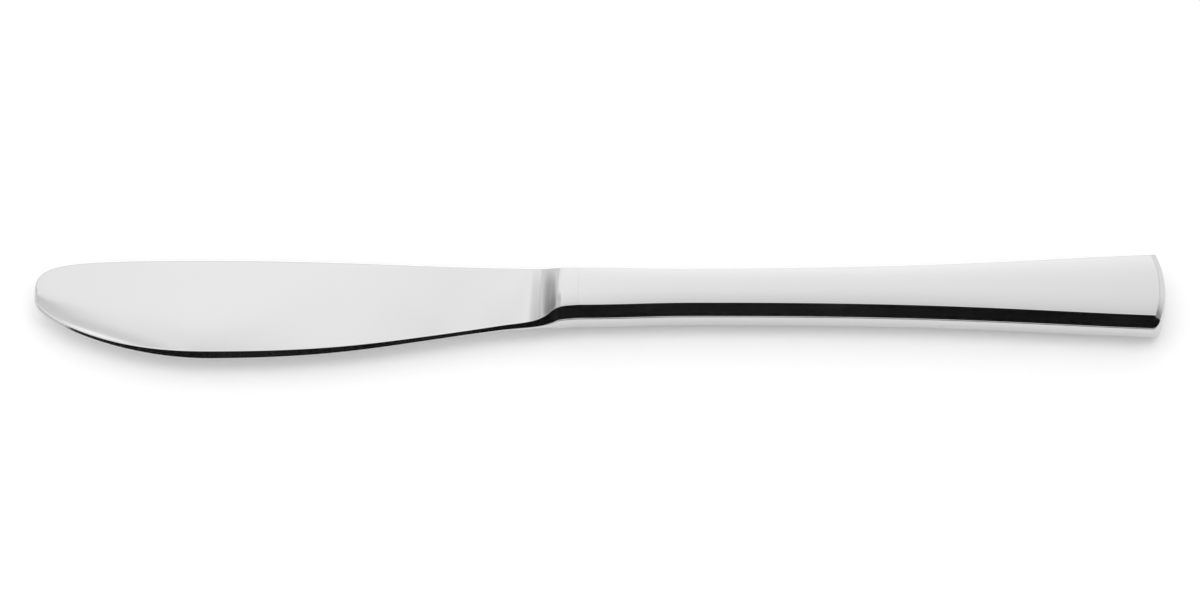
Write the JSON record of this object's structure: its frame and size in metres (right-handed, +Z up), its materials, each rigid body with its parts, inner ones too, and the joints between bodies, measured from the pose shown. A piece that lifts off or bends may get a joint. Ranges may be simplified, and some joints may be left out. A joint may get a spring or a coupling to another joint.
{
  "type": "dessert knife",
  "caption": "Polished steel dessert knife with a round-nosed blade, a hollow rise at the bolster and a slim bevelled handle that widens to a curved butt.",
  "frame": {"origin": "on the table under the handle's axis, halfway along the knife", "axes": "+X along the handle's axis from the tip to the butt, +Y from the cutting edge to the spine, +Z up from the table"},
  "size_m": [0.208, 0.0215, 0.0082],
  "materials": {
    "blade_steel": "mirror polished",
    "handle_steel": "mirror polished",
    "silver_braze": "polished flush",
    "cement": "matt, hidden"
  },
  "bodies": {
    "root": {"blade": "blade_steel", "upper_handle_shell": "handle_steel", "lower_handle_shell": "handle_steel", "seam_braze": "silver_braze", "bolster_braze": "silver_braze", "handle_cement": "cement"}
  },
  "joints": []
}
